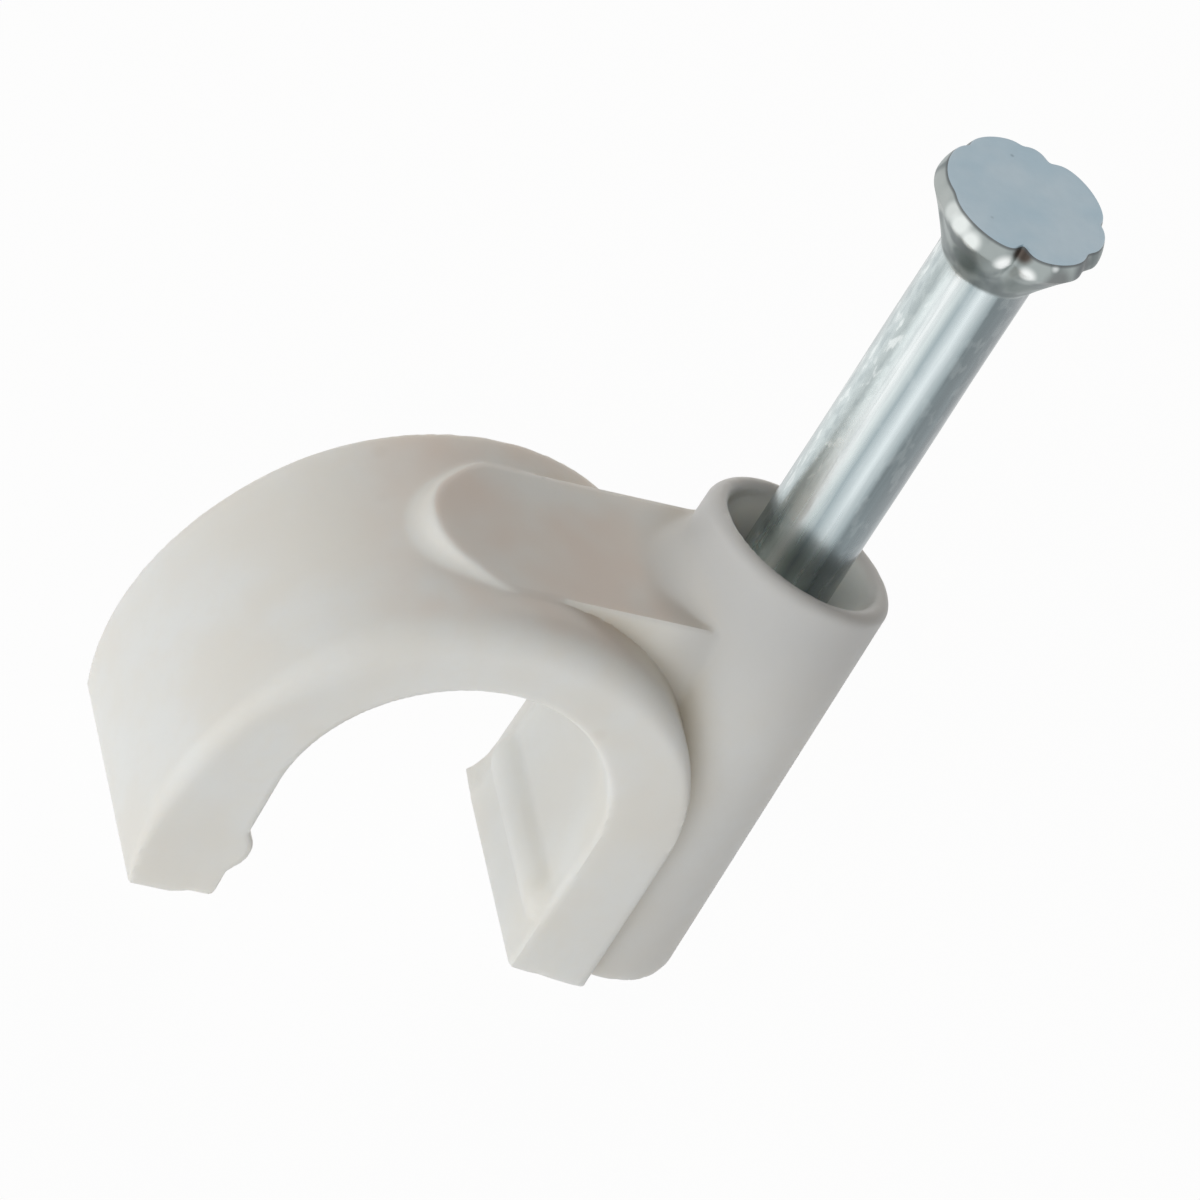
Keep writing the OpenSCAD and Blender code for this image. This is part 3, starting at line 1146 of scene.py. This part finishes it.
@dataclass(frozen=True)
class Nail:
    """Zinc-plated nail with a struck, lobed head and a four-sided point. Sizes in mm."""

    tip_z: float = 0.2
    top_z: float = 24.5
    shank_r: float = 1.25
    shank_inset: float = 0.006
    shank_step: float = 0.25
    waves: tuple = ((0.004, 5, 0.7), (0.003, 9, -1.1))
    point_len: float = 3.4
    point_half: float = 0.1
    point_rings: int = 24
    head_r: float = 2.25
    head_inset: float = 0.02
    head_shift: tuple = (0.04, 0.06)
    neck_gap: float = 0.3
    cone_h: float = 1.5
    cone_rings: int = 22
    cone_swell: float = 1.15
    crease_rate: float = 1.4
    rim_h: float = 0.5
    rim_rings: int = 8
    rim_roll: float = 0.12
    rim_drift: float = 0.9
    bevel: float = 0.05
    bevel_steps: tuple = (0.35, 0.7, 1.0)
    face_steps: tuple = (0.93, 0.8, 0.6, 0.4, 0.2)
    sides: int = 288
    sharp: float = 50.0
    notches: tuple = (
        Notch(129.0, 0.14, 6.0), Notch(82.0, 0.12, 6.0), Notch(59.0, 0.3, 8.0),
        Notch(-8.0, 0.16, 6.0), Notch(-46.0, 0.16, 8.0), Notch(-105.0, 0.38, 6.0),
        Notch(-172.0, 0.1, 9.0),
    )

    def turns(self) -> np.ndarray:
        """Gives the angle of each side in degrees."""
        return np.arange(self.sides) * 360.0 / self.sides

    def head_outline(self) -> np.ndarray:
        """Gives the radius of the head around its rim.

        Returns:
            One radius per side, in millimetres.
        """
        turn = self.turns()
        radius = np.full_like(turn, self.head_r - self.head_inset)
        for notch in self.notches:
            away = np.abs((turn - notch.turn + 180.0) % 360.0 - 180.0)
            radius = radius - notch.depth / (1.0 + (away / notch.width) ** 2)
        return radius

    def ring(self, radius: np.ndarray, z: float, shift: float = 0.0) -> Points:
        """Makes one ring of the nail.

        Args:
            radius: Radius at each side.
            z: Height of the ring.
            shift: Share of the head's offset that it carries.

        Returns:
            Points in millimetres.
        """
        turn = np.radians(self.turns())
        x = radius * np.cos(turn) + self.head_shift[0] * shift
        y = radius * np.sin(turn) + self.head_shift[1] * shift
        return np.stack([x, y, np.full_like(x, z)], axis=1)

    def shank_rings(self) -> list[Points]:
        """Lists the rings of the point and the slightly wavy shank.

        Returns:
            One array of points per ring, from the tip upwards.
        """
        turn = np.radians(self.turns())
        square = 1.0 / np.maximum(np.abs(np.cos(turn)), np.abs(np.sin(turn)))
        rings = []
        for h in np.linspace(0.0, self.point_len, self.point_rings):
            half = self.point_half + (self.shank_r - self.point_half) * h / self.point_len
            rings.append(self.ring(np.minimum(self.shank_r, half * square), self.tip_z + h))
        start = self.tip_z + self.point_len + self.shank_step
        end = self.top_z - self.rim_h - self.cone_h - self.neck_gap
        for z in np.arange(start, end, self.shank_step):
            radius = self.shank_r - self.shank_inset
            for depth, lobes, twist in self.waves:
                radius = radius + depth * np.sin(lobes * turn + twist * z)
            rings.append(self.ring(radius, z))
        return rings

    def head_rings(self) -> list[Points]:
        """Lists the rings of the creased cone, the rolled rim and the struck face.

        Returns:
            One array of points per ring, from the neck upwards.
        """
        rim = self.head_outline()
        rim_z = self.top_z - self.rim_h
        rings = []
        for s in np.linspace(0.0, 1.0, self.cone_rings):
            swell = s ** self.cone_swell
            crease = np.clip(s * self.crease_rate, 0.0, 1.0) * swell
            full = self.shank_r + (self.head_r - self.shank_r) * swell
            radius = full - (self.head_r - rim) * crease
            rings.append(self.ring(radius, rim_z - self.cone_h + self.cone_h * s, swell))
        for s in np.linspace(0.0, 1.0, self.rim_rings)[1:]:
            z = rim_z + (self.rim_h - self.bevel) * s
            rings.append(self.ring(rim - self.rim_roll * s ** 2, z, 1.0 + self.rim_drift * s ** 2))
        rim, drift = rim - self.rim_roll, 1.0 + self.rim_drift
        for s in self.bevel_steps:
            z = self.top_z - self.bevel + self.bevel * math.sin(math.radians(90.0 * s))
            rings.append(self.ring(rim - self.bevel * s, z, drift))
        for s in self.face_steps:
            rings.append(self.ring((rim - self.bevel) * s, self.top_z, drift * s))
        return rings

    def build(self, finish: ZincFinish, mottle: Tree) -> bpy.types.Object:
        """Meshes and dresses the nail.

        Args:
            finish: Its plating.
            mottle: Shared cloud group.

        Returns:
            The piece.
        """
        rings = self.shank_rings() + self.head_rings()
        n = self.sides
        ends = np.array([[0.0, 0.0, self.tip_z], [0.0, 0.0, self.top_z]])
        verts = np.concatenate(rings + [ends])
        faces: list[tuple] = []
        for k in range(len(rings) - 1):
            for i in range(n):
                j = (i + 1) % n
                faces.append((k * n + i, k * n + j, (k + 1) * n + j, (k + 1) * n + i))
        last = (len(rings) - 1) * n
        for i in range(n):
            j = (i + 1) % n
            faces.append((len(verts) - 2, j, i))
            faces.append((len(verts) - 1, last + i, last + j))
        piece = mesh_object("plated_nail", verts, faces, self.sharp)
        piece.data.materials.append(finish.build(mottle))
        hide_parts("nail")
        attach(piece, "root")
        LOG.info("plated_nail: %d faces", len(faces))
        return piece


@dataclass(frozen=True)
class Lamp:
    """One soft lamp: its angles in degrees, distance and size in metres, power and colour."""

    name: str
    azimuth: float
    elevation: float
    power: float
    colour: tuple = (1.0, 1.0, 1.0)
    distance: float = 0.3
    size: float = 0.22


@dataclass(frozen=True)
class Studio:
    """Pale floor, soft lamps, world and camera."""

    azimuth: float = -31.825
    elevation: float = 36.528
    roll: float = 32.698
    scale_px: float = 41.705
    reach_mm: float = 384.437
    pivot_mm: tuple = (-4.0, 0.0, 8.0)
    pivot_px: tuple = (571.252, 643.217)
    image_px: float = 1200.0
    sensor_mm: float = 36.0
    clip_m: tuple = (0.01, 50.0)
    lamps: tuple = (
        Lamp("side", -120.0, 12.0, 0.2),
        Lamp("key", -60.0, 2.0, 0.37),
        Lamp("front", -30.0, 15.0, 0.28),
        Lamp("back", 160.0, 20.0, 0.36, (1.0, 0.94, 0.88)),
    )
    white: tuple = (1.0, 1.0, 1.0, 1.0)
    room_low: tuple = (0.02, 0.02, 0.02, 1.0)
    room_high: tuple = (0.235, 0.212, 0.19, 1.0)
    room_rise: tuple = (0.0, 0.9)
    floor_pale: tuple = (0.9, 0.9, 0.9, 1.0)
    floor_seen: float = 0.965
    floor_glow: float = 0.53
    floor_half_m: float = 1.5
    floor_drop_mm: float = 0.02

    @staticmethod
    def toward(azimuth: float, elevation: float) -> Vector:
        """Gives the unit direction that leads from the object to a viewer.

        Args:
            azimuth: Degrees round the object, 0 in front.
            elevation: Degrees above the floor.

        Returns:
            The direction.
        """
        a, e = math.radians(azimuth), math.radians(elevation)
        return Vector((math.sin(a) * math.cos(e), -math.cos(a) * math.cos(e), math.sin(e)))

    def camera(self) -> None:
        """Places the camera at the photograph's angle."""
        back = self.toward(self.azimuth, self.elevation)
        a, r = math.radians(self.azimuth), math.radians(self.roll)
        level = Vector((math.cos(a), math.sin(a), 0.0))
        upright = back.cross(level)
        right = level * math.cos(r) + upright * math.sin(r)
        up = upright * math.cos(r) - level * math.sin(r)
        middle = self.image_px / 2
        aim = Vector(self.pivot_mm)
        aim += right * ((middle - self.pivot_px[0]) / self.scale_px)
        aim += up * ((self.pivot_px[1] - middle) / self.scale_px)
        data = bpy.data.cameras.new("camera")
        data.sensor_width = self.sensor_mm
        data.lens = self.scale_px * self.reach_mm / self.image_px * self.sensor_mm
        data.clip_start, data.clip_end = self.clip_m
        camera = bpy.data.objects.new("camera", data)
        bpy.context.scene.collection.objects.link(camera)
        turn = Matrix((right, up, back)).transposed().to_4x4()
        camera.matrix_world = Matrix.Translation((aim + back * self.reach_mm) * MM) @ turn
        bpy.context.scene.camera = camera

    def light(self) -> None:
        """Sets up the soft lamps, which show in no reflection."""
        target = Vector(self.pivot_mm) * MM
        for lamp in self.lamps:
            data = bpy.data.lights.new(lamp.name, "AREA")
            data.shape = "DISK"
            data.size = lamp.size
            data.energy = lamp.power
            data.color = lamp.colour
            piece = bpy.data.objects.new(lamp.name, data)
            bpy.context.scene.collection.objects.link(piece)
            way = self.toward(lamp.azimuth, lamp.elevation)
            piece.location = target + way * lamp.distance
            piece.rotation_euler = way.to_track_quat("Z", "Y").to_euler()
            piece.visible_glossy = False

    def world(self) -> None:
        """Fills the room: white to the eye and in reflections, softly graded for its light."""
        world = bpy.data.worlds.new("room")
        bpy.context.scene.world = world
        world.use_nodes = True
        world.node_tree.nodes.clear()
        board = NodeBoard(world.node_tree)
        coords = board.add("ShaderNodeTexCoord").outputs
        way = board.add("ShaderNodeSeparateXYZ", Vector=coords["Generated"]).outputs
        height = board.spread(way["Z"], *self.room_rise, 0.0, 1.0)
        room = board.mix(height, self.room_low, self.room_high)
        colour = board.mix(self.seen_directly(board), room, self.white)
        back = board.add("ShaderNodeBackground", Color=colour, Strength=1.0)
        out = board.add("ShaderNodeOutputWorld")
        board.tree.links.new(back.outputs[0], out.inputs[0])

    @staticmethod
    def seen_directly(board: NodeBoard) -> Socket:
        """Tells rays that show the background from rays that carry light.

        Args:
            board: Board of the tree that asks.

        Returns:
            1 for camera, glossy and transmission rays.
        """
        ray = board.add("ShaderNodeLightPath").outputs
        either = board.math("MAXIMUM", ray["Is Camera Ray"], ray["Is Glossy Ray"])
        return board.math("MAXIMUM", either, ray["Is Transmission Ray"])

    def floor(self) -> None:
        """Lays the pale floor that keeps the object's shadow."""
        mesh = bpy.data.meshes.new("floor")
        half = self.floor_half_m
        corners = [(-half, -half, 0.0), (half, -half, 0.0), (half, half, 0.0), (-half, half, 0.0)]
        mesh.from_pydata(corners, [], [(0, 1, 2, 3)])
        floor = bpy.data.objects.new("floor", mesh)
        bpy.context.scene.collection.objects.link(floor)
        floor.location.z = -self.floor_drop_mm * MM
        material, board, out = new_material("pale_floor")
        matt = board.add("ShaderNodeBsdfDiffuse", Color=self.floor_pale)
        glow = board.add("ShaderNodeEmission", Color=self.white, Strength=1.0)
        seen = board.math("MULTIPLY", self.seen_directly(board), self.floor_seen)
        share = board.math("MAXIMUM", seen, self.floor_glow)
        blend = board.add(
            "ShaderNodeMixShader", i0=share, i1=matt.outputs[0], i2=glow.outputs[0],
        )
        board.tree.links.new(blend.outputs[0], out.inputs[0])
        mesh.materials.append(material)

    def build(self) -> None:
        """Sets up the whole studio."""
        self.camera()
        self.light()
        self.world()
        self.floor()
        bpy.context.scene.view_settings.view_transform = "Standard"
        LOG.info("studio: %d lamps", len(self.lamps))


def main() -> None:
    """Builds the studio and both pieces."""
    logging.basicConfig(level=logging.INFO, format="%(name)s %(message)s")
    Studio().build()
    mottle = Mottle().build()
    ClipBody().build(PolymerFinish(), mottle)
    Nail().build(ZincFinish(), mottle)


if __name__ == "__main__":
    main()
